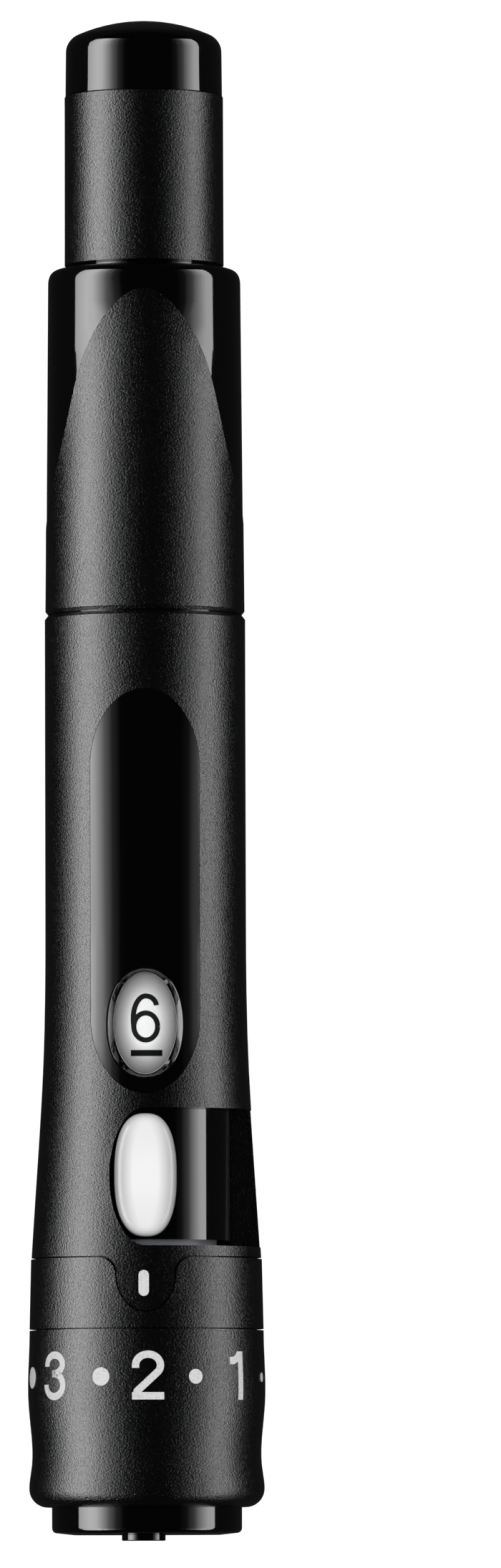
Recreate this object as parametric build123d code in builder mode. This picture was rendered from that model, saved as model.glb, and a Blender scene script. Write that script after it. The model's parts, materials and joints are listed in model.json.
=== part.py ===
"""Lancing device: a pen that holds a drum of six lancets and fires one of them.

The pen lies along Y. Stations are distances along Y from the face of the nose ring, toward the
button. Z points out of the front, where the window and the lever are, and X to the side that
the lever slot opens to. An azimuth turns from the front toward that side.
"""

import os
from math import cos, degrees, radians, sin, sqrt

from build123d import *

os.makedirs("parts", exist_ok=True)

# Turns
half_turn = 180.0
full_turn = 360.0

# Fits and gaps
running_gap = 0.08
seat_gap = 0.03
seam_gap = 0.10
end_gap = 0.05
overrun = 1.0

# Rod of the ram, and its claw
rod_radius = 1.60
claw_width = 1.30
claw_jaw = 0.60
claw_gap = 0.10

# Lancets, placed round the rod
lancet_count = 6
active_azimuth = -3.4
pitch_angle = full_turn / lancet_count
head_gap = 0.40
head_rise = 0.85
lancet_lip = 0.10
lancet_height = 0.85
lancet_width = 1.50
lancet_nose = 1.20
head_inner = rod_radius + head_gap
core_bore = head_inner + head_rise
lancet_inner = core_bore + lancet_lip
lancet_outer = lancet_inner + lancet_height
orbit = (lancet_inner + lancet_outer) / 2
needle_radius = 0.18
needle_root = 1.60
needle_point = 0.80
claw_reach = core_bore - claw_gap

# Drum round the lancets: core and housing
core_skin = 0.31
core_fit = 0.04
core_step = 0.08
core_step_height = 1.00
core_port = 0.80
core_radius = lancet_outer + core_skin
chamber_gap = 0.10
chamber_width = lancet_width + 2 * chamber_gap
chamber_reach = lancet_outer + end_gap
flute_width = 0.80
flute_depth = 0.45
housing_wall = 0.69
housing_bore = core_radius + core_fit
housing_radius = housing_bore + housing_wall
flange_rise = 0.65
flange_height = 0.60
front_wall = 0.70
needle_hole_radius = 0.50
rib_width = 0.70
rib_length = 4.97
rib_rise = 0.15
rib_from_top = 4.50
drum_window_width = 2.00
drum_window_length = 6.15
drum_window_from_top = 4.03
drum_window_count = 3
leg_width = 0.95
leg_thickness = 0.45
leg_slant = 0.50
leg_straight = 3.10
foot_width = 1.50
foot_height = 0.65
foot_rise = 0.40

# Radii of the cap and of the body's outside, from the drum outward
drum_clearance = 0.18
spigot_wall = 1.37
sleeve_wall = 0.58
dial_wall = 0.78
collar_taper = 0.11
body_step = 0.04
body_lever_drop = 0.35
body_flare_drop = 0.48
barrel_drop = 0.16
spigot_bore = housing_radius + rib_rise + drum_clearance
nose_radius = spigot_bore + spigot_wall
cap_bore = nose_radius + running_gap
sleeve_radius = cap_bore + sleeve_wall
dial_bore = sleeve_radius + running_gap
dial_top_radius = dial_bore + dial_wall
collar_low_radius = dial_top_radius
collar_top_radius = collar_low_radius - collar_taper
body_low_radius = collar_top_radius - body_step
body_lever_radius = body_low_radius - body_lever_drop
body_flare_radius = body_lever_radius - body_flare_drop
barrel_radius = body_flare_radius - barrel_drop

# Radii of the rear half, from the barrel inward
mouth_wall = 0.72
mouth_step = 0.33
tail_wall = 0.55
shell_step = 0.09
shell_taper = 0.18
shell_round = 0.90
neck_gap = 0.04
neck_wall = 0.58
grip_gap = 0.12
grip_taper = 0.015
grip_wall = 0.90
grip_edge = 0.04
dome_step = 0.08
dome_taper = 0.04
stem_wall = 0.85
stem_clearance = 0.15
mouth_bore = barrel_radius - mouth_wall
body_bore = mouth_bore - mouth_step
tail_radius = mouth_bore - seat_gap
shell_bore = tail_radius - tail_wall
shell_tail_radius = barrel_radius - shell_step
shell_shoulder_radius = shell_tail_radius - shell_taper
shell_crest_radius = shell_shoulder_radius - shell_round
frame_radius = body_bore - seat_gap
frame_neck_radius = shell_bore - neck_gap
frame_bore = frame_neck_radius - neck_wall
grip_radius = shell_bore - grip_gap
grip_top_radius = grip_radius - grip_taper
dome_radius = grip_radius - dome_step
dome_top_radius = dome_radius - dome_taper
stem_radius = grip_radius - grip_wall
stem_bore = stem_radius - stem_wall

# Nose ring
nose_wall = 0.70
nose_floor = 1.20
nose_length = 8.00
nose_corner = 0.35
nose_flat_radius = 5.00
nose_dome = 0.17
exit_bore_radius = 0.90
exit_collar_wall = 0.60
exit_collar_rise = 0.40
exit_collar_edge = 0.06
nose_bore = nose_radius - nose_wall

# Depth setting: one screw guide between the dial and the nose ring
guide_pin_radius = 0.30
guide_pin_rise = 0.40
guide_pin_height = 1.85
guide_azimuth = 90.0
depth_step = 0.15
dial_positions = 14
steps_down = 3
steps_up = 7
key_width = 1.60
key_rise = 0.40
key_height = 1.60
key_inset = 0.20
step_angle = full_turn / dial_positions
lift = steps_up * depth_step
guide_pin_station = nose_floor + guide_pin_height
key_high = nose_length - key_inset
key_low = key_high - key_height

# Depth dial
nose_reach = 1.90
dial_length = 12.15
dial_belly_rise = 0.088
dial_belly_height = 7.20
dial_waist_drop = 0.13
dial_waist_height = 2.77
dial_rim_rise = 0.04
dial_rim_round = 1.29
dial_lip_height = 2.95
dial_top = nose_reach + dial_length
dial_lip_top = nose_reach + dial_lip_height

# Clicks of the dial
click_azimuth = 180.0
click_radius = 0.50
click_depth = 0.20
click_length = 2.10
click_inset = 1.45
click_leaf_thickness = 0.15
click_leaf_half_angle = 20.0
click_nose_radius = 0.38
click_high = dial_top - click_inset
click_low = click_high - click_length

# Cap
sleeve_bead_rise = 0.12
sleeve_bead_height = 0.60
sleeve_bead_gap = 1.00
notch_half_width = 2.08
notch_inset = 1.05
notch_rise = 2.55
notch_height = 3.85
notch_flare = 1.18
cap_low = dial_lip_top + seam_gap
sleeve_bead_low = click_low - sleeve_bead_gap - sleeve_bead_height
collar_low = dial_top + seam_gap
notch_bottom = collar_low + notch_inset
body_low = notch_bottom + notch_height
collar_top = body_low - seam_gap

# Main body: slot, panel and window follow one another up from its lower end
body_low_slope_share = -0.06
body_lever_rise = 5.35
body_flare_rise = 8.00
barrel_rise = 9.60
groove_depth = 0.19
groove_half_width = 0.24
spigot_clear = 0.75
slot_inset = 0.70
slot_length = 9.45
slot_end_half_width = 2.48
slot_end_azimuth = 97.0
panel_inset = 1.00
panel_length = 27.70
panel_half_width = 3.73
panel_end = 5.20
panel_seat_wall = 0.38
panel_proud = 0.02
window_inset = 4.80
window_half_width = 2.185
window_half_length = 3.59
bevel_width = 0.465
bevel_height = 0.14
bevel_rim_round = 0.12
lens_shelf = 0.09
lens_thickness = 0.49
mouth_depth = 5.32
body_lever_station = body_low + body_lever_rise
body_flare_station = body_lever_station + body_flare_rise
barrel_station = body_flare_station + barrel_rise
spigot_low = nose_length + lift + spigot_clear
slot_low = body_low + slot_inset
slot_high = slot_low + slot_length
panel_low = slot_high + panel_inset
panel_high = panel_low + panel_length
panel_seat_radius = body_bore + panel_seat_wall
window_station = panel_low + window_inset
bezel_half_width = window_half_width + bevel_width
bezel_half_length = window_half_length + bevel_height
lens_inner_radius = body_bore + lens_shelf
lens_outer_radius = lens_inner_radius + lens_thickness
mouth_station = panel_high + seam_gap
body_top = mouth_station + mouth_depth

# Rear shell and the sleeve with its two tongues
shell_tail_inset = 0.20
shell_shoulder_height = 1.02
shell_lip = 1.83
tongue_thickness = 0.50
tongue_proud = 0.05
tongue_foot = 4.78
tongue_rise = 17.30
tongue_x_shares = (0.0, 0.518, 0.75, 0.931, 1.0)
tongue_drop_shares = (0.0, 0.189, 0.481, 0.791, 1.0)
shell_tail = mouth_station + shell_tail_inset
sleeve_low = body_top + seam_gap
tongue_valley = sleeve_low + tongue_foot
tongue_apex = tongue_valley + tongue_rise
shell_mouth = tongue_apex + shell_lip

# Button
grip_rest = 0.31
grip_length = 11.76
dome_height = 5.20
dome_crown = 11.50
dome_round = 1.25
dome_wall = 3.10
stem_reach = 6.84
cocking_pin_rise = 1.20
button_travel = 8.0
grip_low = shell_mouth + grip_rest
dome_low = grip_low + grip_length
button_top = dome_low + dome_height
stem_ceiling = button_top - dome_wall
stem_low = grip_low - stem_reach
cocking_pin_station = stem_low + cocking_pin_rise

# Drive rotor, ram and inner frame, from the body's mouth down
pin_radius = 0.45
pin_groove_depth = 0.80
pin_tip_gap = 0.10
stroke = 5.60
frame_rise = 3.00
frame_end_gap = 0.30
bulkhead = 1.20
bush_height = 1.00
rotor_clearance = 0.60
rotor_length = 10.30
rod_clearance = 0.10
journal_wall = 0.70
journal_rise = 0.40
follower_inset = 2.80
rod_tail = 5.90
hub_height = 1.20
hub_rise = 1.00
hub_rest_gap = 0.95
arm_azimuth = 180.0
arm_gap = 0.10
arm_thickness = 0.80
arm_width = 2.60
arm_tip = 1.00
frame_top = mouth_station + frame_rise
bush_low = frame_top - frame_end_gap - bush_height
rotor_high = bush_low - frame_end_gap
rotor_low = rotor_high - rotor_length
rotor_radius = frame_bore - rotor_clearance
rotor_bore = rod_radius + rod_clearance
journal_radius = rotor_bore + journal_wall
journal_top = frame_top + journal_rise
follower_station = rotor_high - follower_inset
rod_top = rotor_low + rod_tail
hub_low = rotor_low - frame_end_gap - hub_height
hub_radius = rod_radius + hub_rise
arm_inner = rotor_radius + arm_gap
arm_outer = arm_inner + arm_thickness
arm_top = follower_station + arm_tip
frame_low = hub_low - stroke - hub_rest_gap - bulkhead

# Cocking rotor, turned by the button
cocking_wall = 0.50
cocking_tail = 6.10
cocking_flange_height = 1.30
cocking_flange_rise = 1.00
cocking_tip = 2.00
cocking_turn = 180.0
cocking_azimuth = 90.0
rear_bearing_height = 1.20
cocking_radius = stem_bore - stem_clearance
cocking_bore = journal_radius - cocking_wall
cocking_low = journal_top + seam_gap
cocking_top = cocking_pin_station + cocking_tip
cocking_flange_low = cocking_low + cocking_tail
cocking_flange_radius = cocking_radius + cocking_flange_rise

# Springs
drive_wire = 0.30
drive_coil_gap = 0.40
drive_coils = 5
button_wire = 0.25
button_coil_inset = 0.55
button_coils = 4
drive_coil_radius = journal_radius + drive_coil_gap + drive_wire
button_coil_radius = stem_bore + button_coil_inset

# Stations of the drum and the lancets, from the nose ring's floor up
drum_rest = 1.30
housing_length = 17.90
core_standout = 6.05
lancet_inset = 6.50
needle_inset = 1.70
head_height = 0.90
head_inset = 0.45
drum_low = nose_floor + drum_rest
housing_top = drum_low + housing_length
core_top = housing_top + core_standout
lancet_low = drum_low + lancet_inset
needle_tip = drum_low + needle_inset
needle_tail = lancet_low + needle_root
head_high = core_top - head_inset
head_low = head_high - head_height

# Drum carrier and counter
carrier_fit = 0.19
carrier_wall = 0.57
carrier_rest = 0.30
carrier_web = 1.00
carrier_web_gap = 0.85
carrier_top_gap = 0.35
claw_passage = 0.15
ratchet_gap = 0.12
ratchet_inset = 0.13
ratchet_tooth = 0.40
ratchet_tooth_share = 0.80
ratchet_flange = 0.50
ratchet_count = 12
ratchet_rise = 0.50
counter_gap = 0.09
index_leaf = 0.15
pawl_rise = 0.45
pawl_length = 1.20
pawl_azimuth = 60.0
carrier_bore = core_radius + carrier_fit
carrier_radius = carrier_bore + carrier_wall
carrier_low = housing_top + carrier_rest
carrier_top = frame_low - carrier_top_gap
carrier_web_low = core_top + carrier_web_gap
carrier_web_bore = claw_reach + claw_passage
ratchet_low = slot_high + ratchet_rise
ratchet_radius = body_bore - ratchet_gap
ratchet_outer = ratchet_radius - end_gap
ratchet_inner = carrier_radius + ratchet_inset
counter_low = ratchet_low + ratchet_tooth + ratchet_flange + end_gap
counter_bore = carrier_radius + seat_gap
counter_radius = body_bore - counter_gap

# Lever and its ring
lever_ring_inset = 0.45
lever_offset = 0.105
lever_side_gap = 0.35
lever_end_gap = 0.515
lever_proud = 0.84
lever_crown_drop = 0.80
lever_edge = 0.85
lever_fullness_share = 0.80
lever_outline_points = 48
tenon_width = 1.60
tenon_length = 4.00
slot_middle = (slot_low + slot_high) / 2
lever_ring_low = slot_low + lever_ring_inset
lever_ring_radius = body_bore - running_gap
lever_ring_bore = carrier_radius + running_gap
lever_station = slot_middle + lever_offset
lever_half_width = slot_end_half_width - lever_side_gap
lever_half_length = slot_length / 2 - lever_end_gap
lever_crown_radius = body_lever_radius + lever_proud


def across(station):
    """Plane square to the pen: x to the front, y to the lever side, normal toward the button."""
    return Plane(origin=(0, station, 0), x_dir=(0, 0, 1), z_dir=(0, 1, 0))


def lengthwise(azimuth):
    """Plane through the axis at an azimuth: x is the station, y the distance from the axis."""
    turn = radians(azimuth)
    return Plane(origin=(0, 0, 0), x_dir=(0, 1, 0), z_dir=(cos(turn), 0, -sin(turn)))


def facing(azimuth, station, reach):
    """Plane that faces outward at an azimuth, station and distance: x toward the button."""
    turn = radians(azimuth)
    spot = (reach * sin(turn), station, reach * cos(turn))
    return Plane(origin=spot, x_dir=(0, 1, 0), z_dir=(sin(turn), 0, cos(turn)))


def tube(low, high, outer, bore=0.0, mode=Mode.ADD):
    """A plain tube or disc between two stations."""
    with BuildSketch(across(low)) as section:
        Circle(outer)
        if bore > 0:
            Circle(bore, mode=Mode.SUBTRACT)
    extrude(section.sketch, amount=high - low, mode=mode)


def turned(outline, mode=Mode.ADD):
    """A solid turned about the pen's axis from an outline of (radius, station) points."""
    with BuildSketch(Plane.XY) as section:
        with BuildLine():
            Polyline(*outline, close=True)
        make_face()
    revolve(section.sketch, axis=Axis.Y, mode=mode)


def radial_rod(azimuth, station, inner, outer, radius, mode=Mode.ADD):
    """A round rod that points out from the axis."""
    with BuildSketch(facing(azimuth, station, inner)) as section:
        Circle(radius)
    extrude(section.sketch, amount=outer - inner, mode=mode)


def radial_bar(azimuth, low, high, inner, outer, width, mode=Mode.ADD):
    """A square bar that points out from the axis."""
    with BuildSketch(facing(azimuth, (low + high) / 2, inner)) as section:
        Rectangle(high - low, width)
    extrude(section.sketch, amount=outer - inner, mode=mode)


def helix_at(azimuth, low, pitch, height, radius, lefthand=False):
    """A helix about the pen's axis that starts at an azimuth and climbs toward the button."""
    line = Helix(
        pitch, height, radius, center=(0, low, 0), direction=(0, 1, 0),
        lefthand=lefthand, mode=Mode.PRIVATE,
    )
    start = line @ 0
    bearing = Vector(0, 0, 1).get_signed_angle(Vector(start.X, 0, start.Z), Vector(0, 1, 0))
    return line.rotate(Axis.Y, azimuth - bearing)


def swept_on(line, profile_width, profile_height):
    """A bar of rectangular section swept along a helix, with its first side along the radius."""
    start = line @ 0
    section_plane = Plane(origin=start, x_dir=(start.X, 0, start.Z), z_dir=line % 0)
    with BuildPart() as bar:
        with BuildSketch(section_plane):
            Rectangle(profile_width, profile_height)
        sweep(path=line, is_frenet=True)
    return bar.part


def coil(low, high, coil_radius, wire, turns):
    """A wire coil about the pen's axis between two stations."""
    height = high - low - 2 * wire
    line = helix_at(0, low + wire, height / turns, height, coil_radius)
    with BuildPart() as wound:
        with BuildSketch(Plane(origin=line @ 0, z_dir=line % 0)):
            Circle(wire)
        sweep(path=line, is_frenet=True)
    return wound.part


def notch_prism(inset, top):
    """A prism toward the front, in the notch's outline: half an oval below a flared top."""
    half_width = notch_half_width - inset
    straight_low = notch_bottom + notch_rise
    side = half_width + notch_flare
    with BuildPart() as prism:
        with BuildSketch(Plane.XY):
            with BuildLine():
                Line((-half_width, top - notch_flare), (-half_width, straight_low))
                EllipticalCenterArc(
                    (0, straight_low), half_width, notch_rise - inset, half_turn,
                    arc_size=half_turn,
                )
                Line((half_width, straight_low), (half_width, top - notch_flare))
                TangentArc((half_width, top - notch_flare), (side, top), tangent=(0, 1))
                Polyline(
                    (side, top), (side, top + overrun), (-side, top + overrun), (-side, top),
                )
                TangentArc((-half_width, top - notch_flare), (-side, top), tangent=(0, 1))
            make_face()
        extrude(amount=collar_low_radius + overrun)
    return prism.part


def body_blank(growth, bore):
    """The outside form of the main body, grown by a gap, round a plain bore."""
    with BuildPart() as blank:
        with BuildSketch(Plane.XY):
            with BuildLine():
                Spline(
                    (body_low_radius + growth, body_low),
                    (body_lever_radius + growth, body_lever_station),
                    (body_flare_radius + growth, body_flare_station),
                    (barrel_radius + growth, barrel_station),
                    tangents=((body_low_slope_share, 1), (0, 1)),
                )
                Polyline(
                    (barrel_radius + growth, barrel_station), (barrel_radius + growth, body_top),
                    (bore, body_top), (bore, body_low), (body_low_radius + growth, body_low),
                )
            make_face()
        revolve(axis=Axis.Y)
    return blank.part


def panel_prism(growth):
    """A prism toward the front, with the pill outline of the panel grown by a gap."""
    straight = panel_high - panel_low - 2 * panel_end
    with BuildPart() as prism:
        with BuildSketch(Plane.XY):
            with Locations((0, (panel_low + panel_high) / 2)):
                Rectangle(2 * (panel_half_width + growth), straight)
            with Locations((0, panel_low + panel_end), (0, panel_high - panel_end)):
                Ellipse(panel_half_width + growth, panel_end + growth)
        extrude(amount=body_low_radius + overrun)
    return prism.part


def superellipse():
    """Points round the lever's outline, a fuller oval than an ellipse."""
    points = []
    for step in range(lever_outline_points):
        turn = radians(full_turn * step / lever_outline_points)
        grip_x = abs(cos(turn)) ** lever_fullness_share * (1 if cos(turn) > 0 else -1)
        grip_y = abs(sin(turn)) ** lever_fullness_share * (1 if sin(turn) > 0 else -1)
        points.append((lever_half_width * grip_x, lever_station + lever_half_length * grip_y))
    return points


def shell_radius(station):
    """Outer radius of the rear shell between its tail and its shoulder."""
    shoulder_low = shell_mouth - shell_shoulder_height
    share = (station - sleeve_low) / (shoulder_low - sleeve_low)
    return shell_tail_radius + share * (shell_shoulder_radius - shell_tail_radius)


def tongue_blank(depth, proud):
    """A ring about the shell's surface, from a depth below it to a height above it."""
    high = tongue_apex + overrun / 2
    with BuildPart() as blank:
        turned([
            (shell_radius(sleeve_low) - depth, sleeve_low),
            (shell_radius(sleeve_low) + proud, sleeve_low),
            (shell_radius(high) + proud, high),
            (shell_radius(high) - depth, high),
        ])
    return blank.part


def tongue_prism(growth):
    """A prism through front and back, below the curve that rises to the tongue's apex."""
    side = shell_tail_radius + tongue_proud
    drop = tongue_apex - tongue_valley
    right = [
        (side * x_share, tongue_apex + growth - drop * drop_share)
        for x_share, drop_share in zip(tongue_x_shares, tongue_drop_shares)
    ]
    left = [(-x, y) for x, y in reversed(right[1:])]
    valley = tongue_valley + growth
    with BuildPart() as prism:
        with BuildSketch(Plane.XY):
            with BuildLine():
                Spline(*left, *right, tangents=((0, 1), (0, -1)))
                Polyline(
                    (side, valley), (side + overrun, valley), (side + overrun, shell_tail),
                    (-side - overrun, shell_tail), (-side - overrun, valley), (-side, valley),
                )
            make_face()
        extrude(amount=side + overrun, both=True)
    return prism.part


def export(piece, name):
    """Label one finished piece and write it."""
    piece.part.label = name
    export_step(piece.part, f"parts/{name}.step")


# Nose ring with the lancet exit, its screw pin and its two keys
with BuildPart() as nose_ring:
    turned([
        (0, 0), (nose_flat_radius, 0), (nose_radius, nose_dome), (nose_radius, nose_length),
        (nose_bore, nose_length), (nose_bore, nose_floor), (0, nose_floor),
    ])
    rim = nose_ring.edges().filter_by(GeomType.CIRCLE).group_by(Axis.Y)[1]
    fillet(rim.sort_by(SortBy.RADIUS)[-1], nose_corner)
    exit_spot = across(-exit_collar_rise)
    with BuildSketch(exit_spot):
        with PolarLocations(orbit, 1, start_angle=active_azimuth):
            Circle(exit_bore_radius + exit_collar_wall)
    extrude(amount=exit_collar_rise + nose_floor / 2)
    collar_end = nose_ring.faces().sort_by(Axis.Y)[0]
    chamfer(collar_end.edges(), exit_collar_edge)
    with BuildSketch(exit_spot):
        with PolarLocations(orbit, 1, start_angle=active_azimuth):
            Circle(exit_bore_radius)
    extrude(amount=exit_collar_rise + nose_floor + overrun, mode=Mode.SUBTRACT)
    radial_rod(
        guide_azimuth, guide_pin_station, nose_bore + nose_wall / 2,
        nose_radius + guide_pin_rise, guide_pin_radius,
    )
    for key_azimuth in (0, half_turn):
        radial_bar(
            key_azimuth, key_low, key_high, nose_bore + nose_wall / 2,
            nose_radius + key_rise, key_width,
        )
export(nose_ring, "nose_ring")

# Depth dial with its screw groove, its bead groove and its click scallops
guide_width = 2 * (guide_pin_radius + running_gap)
guide_pitch = depth_step * dial_positions
guide_low = guide_pin_station - steps_down * depth_step
guide_top = guide_pin_station + lift
guide_first = guide_azimuth + steps_down * step_angle
guide_last = guide_azimuth - steps_up * step_angle
guide_reach = nose_radius + guide_pin_rise + pin_tip_gap
guide_line = helix_at(
    guide_first, guide_low, guide_pitch, guide_top - guide_low, cap_bore, lefthand=True,
)
guide_cut = swept_on(guide_line, 2 * (guide_reach - cap_bore), guide_width)
dial_rim_radius = dial_top_radius + dial_rim_rise
dial_foot_radius = dial_rim_radius - dial_rim_round
dial_rim_station = nose_reach + dial_rim_round
with BuildPart() as depth_dial:
    with BuildSketch(Plane.XY):
        with BuildLine():
            Spline(
                (dial_top_radius, dial_top),
                (dial_top_radius + dial_belly_rise, nose_reach + dial_belly_height),
                (dial_top_radius - dial_waist_drop, nose_reach + dial_waist_height),
                (dial_rim_radius, dial_rim_station),
                tangents=((0, -1), (0, -1)),
            )
            RadiusArc(
                (dial_rim_radius, dial_rim_station), (dial_foot_radius, nose_reach),
                dial_rim_round,
            )
            Polyline(
                (dial_foot_radius, nose_reach), (cap_bore, nose_reach),
                (cap_bore, dial_lip_top), (dial_bore, dial_lip_top), (dial_bore, dial_top),
                (dial_top_radius, dial_top),
            )
        make_face()
    revolve(axis=Axis.Y)
    tube(
        sleeve_bead_low - end_gap, sleeve_bead_low + sleeve_bead_height + end_gap,
        dial_bore + sleeve_bead_rise, dial_bore - overrun / 2, mode=Mode.SUBTRACT,
    )
    add(guide_cut, mode=Mode.SUBTRACT)
    for cut_azimuth, cut_station in ((guide_first, guide_low), (guide_last, guide_top)):
        radial_rod(
            cut_azimuth, cut_station, cap_bore - overrun / 2, guide_reach,
            guide_width / 2, mode=Mode.SUBTRACT,
        )
    with BuildSketch(across(click_low)):
        with PolarLocations(dial_bore + click_depth - click_radius, dial_positions):
            Circle(click_radius)
    extrude(amount=click_high - click_low, mode=Mode.SUBTRACT)
export(depth_dial, "depth_dial")

# Cap: the collar with its notch, and the sleeve that the dial turns on
key_slot_top = key_high + lift + 2 * running_gap
click_seat = sleeve_radius - click_leaf_thickness - seat_gap
with BuildPart() as cap_collar:
    turned([
        (cap_bore, cap_low), (sleeve_radius, cap_low), (sleeve_radius, collar_low),
        (collar_low_radius, collar_low), (collar_top_radius, collar_top),
        (cap_bore, collar_top),
    ])
    tube(
        sleeve_bead_low, sleeve_bead_low + sleeve_bead_height,
        sleeve_radius + sleeve_bead_rise, sleeve_radius - sleeve_wall / 2,
    )
    add(notch_prism(0, collar_top), mode=Mode.SUBTRACT)
    for key_azimuth in (0, half_turn):
        radial_bar(
            key_azimuth, cap_low - overrun, key_slot_top, cap_bore - overrun,
            sleeve_radius + overrun, key_width + 2 * running_gap, mode=Mode.SUBTRACT,
        )
    with BuildSketch(lengthwise(click_azimuth - click_leaf_half_angle)):
        with Locations(((click_low + click_high) / 2, click_seat + overrun / 2)):
            Rectangle(click_high - click_low + 2 * seat_gap, overrun)
    revolve(axis=Axis.Y, revolution_arc=2 * click_leaf_half_angle, mode=Mode.SUBTRACT)
export(cap_collar, "cap_collar")

# Leaf spring of the clicks: a curved strip with a nose in one scallop
click_leaf_gap = degrees(seat_gap / sleeve_radius)
with BuildPart() as click_spring:
    with BuildSketch(lengthwise(click_azimuth - click_leaf_half_angle + click_leaf_gap)):
        with Locations(((click_low + click_high) / 2, click_seat + click_leaf_thickness / 2)):
            Rectangle(click_high - click_low, click_leaf_thickness)
    revolve(axis=Axis.Y, revolution_arc=2 * (click_leaf_half_angle - click_leaf_gap))
    with BuildSketch(across(click_low + click_leaf_thickness)):
        with PolarLocations(click_seat + click_leaf_thickness / 2, 1, start_angle=click_azimuth):
            Circle(click_nose_radius)
    extrude(amount=click_high - click_low - 2 * click_leaf_thickness)
    tube(click_low - overrun, click_high + overrun, click_seat, mode=Mode.SUBTRACT)
export(click_spring, "click_spring")

# The tongue of the main body that fills the cap's notch
with BuildPart() as front_tongue:
    turned([
        (cap_bore - overrun / 2, notch_bottom - overrun), (collar_low_radius, collar_low),
        (collar_top_radius, collar_top), (body_low_radius, body_low),
        (body_low_radius - overrun / 2, body_low + overrun / 2),
        (cap_bore - overrun / 2, body_low + overrun / 2),
    ])
    add(notch_prism(seam_gap, body_low), mode=Mode.INTERSECT)

# The window's bevel, a cone of oval section through the panel down to the lens
rim_low = sqrt(lens_outer_radius ** 2 - window_half_width ** 2)
rim_side = sqrt(body_flare_radius ** 2 - bezel_half_width ** 2)
bevel_slope = (bezel_half_width - window_half_width) / (rim_side - rim_low)
end_slope = (bezel_half_length - window_half_length) / (body_flare_radius - lens_outer_radius)
bevel_low_length = window_half_length - end_slope * (lens_outer_radius - rim_low)
bevel_top_width = bezel_half_width + bevel_slope * (body_lever_radius - rim_side)
bevel_top_length = bezel_half_length + end_slope * (body_lever_radius - body_flare_radius)

# Main body: spigot, flared lower end, barrel, slot, window, panel seat and tongue
with BuildPart() as panel_recess:
    add(panel_prism(seat_gap))
    tube(panel_low - overrun, panel_high + overrun, panel_seat_radius, mode=Mode.SUBTRACT)
with BuildPart() as main_body:
    add(body_blank(0, body_bore))
    tube(spigot_low, slot_low, nose_radius, spigot_bore)
    add(front_tongue.part)
    tube(mouth_station, body_top + overrun, mouth_bore, mode=Mode.SUBTRACT)
    turned([
        (barrel_radius - groove_depth, body_top), (barrel_radius, body_top - groove_half_width),
        (barrel_radius + overrun, body_top - groove_half_width),
        (barrel_radius + overrun, body_top),
    ], mode=Mode.SUBTRACT)
    with BuildSketch(Plane.XY):
        with Locations((0, slot_middle)):
            Ellipse(slot_end_half_width, (slot_high - slot_low) / 2)
        with Locations((0, window_station)):
            Ellipse(window_half_width, bevel_low_length)
    extrude(amount=body_low_radius + overrun, mode=Mode.SUBTRACT)
    with BuildSketch(lengthwise(0)):
        with Locations((slot_middle, body_bore + overrun)):
            Rectangle(slot_high - slot_low, 2 * overrun + running_gap)
    revolve(axis=Axis.Y, revolution_arc=slot_end_azimuth, mode=Mode.SUBTRACT)
    add(panel_recess.part, mode=Mode.SUBTRACT)
export(main_body, "main_body")

# Glossy panel with the bevelled window opening
with BuildPart() as info_panel:
    add(body_blank(panel_proud, panel_seat_radius + seat_gap))
    add(panel_prism(0), mode=Mode.INTERSECT)
    with BuildSketch(Plane.XY):
        with Locations((0, window_station)):
            Ellipse(window_half_width, bevel_low_length)
    extrude(amount=body_low_radius, mode=Mode.SUBTRACT)
    with BuildSketch(Plane.XY.offset(rim_low)):
        with Locations((0, window_station)):
            Ellipse(window_half_width, bevel_low_length)
    with BuildSketch(Plane.XY.offset(body_lever_radius)):
        with Locations((0, window_station)):
            Ellipse(bevel_top_width, bevel_top_length)
    loft(mode=Mode.SUBTRACT)
    bevel = info_panel.faces().filter_by(GeomType.BSPLINE).sort_by(SortBy.AREA)[-1]
    bevel_rim = bevel.edges().filter_by(lambda edge: edge.is_closed)
    fillet(bevel_rim, bevel_rim_round)
export(info_panel, "info_panel")

# Clear lens of the window
with BuildPart() as window_lens:
    tube(panel_low, panel_high, lens_outer_radius, lens_inner_radius)
    with BuildSketch(Plane.XY):
        with Locations((0, window_station)):
            Ellipse(window_half_width - seat_gap, bevel_low_length - seat_gap)
    extrude(amount=body_low_radius, mode=Mode.INTERSECT)
export(window_lens, "window_lens")

# Lever ring and lever
with BuildPart() as lever_ring:
    tube(lever_ring_low, slot_high, lever_ring_radius, lever_ring_bore)
    radial_bar(
        0, lever_station - tenon_length / 2 - seat_gap, lever_station + tenon_length / 2 + seat_gap,
        lever_ring_bore - overrun, lever_ring_radius + overrun, tenon_width + 2 * seat_gap,
        mode=Mode.SUBTRACT,
    )
export(lever_ring, "lever_ring")

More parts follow.
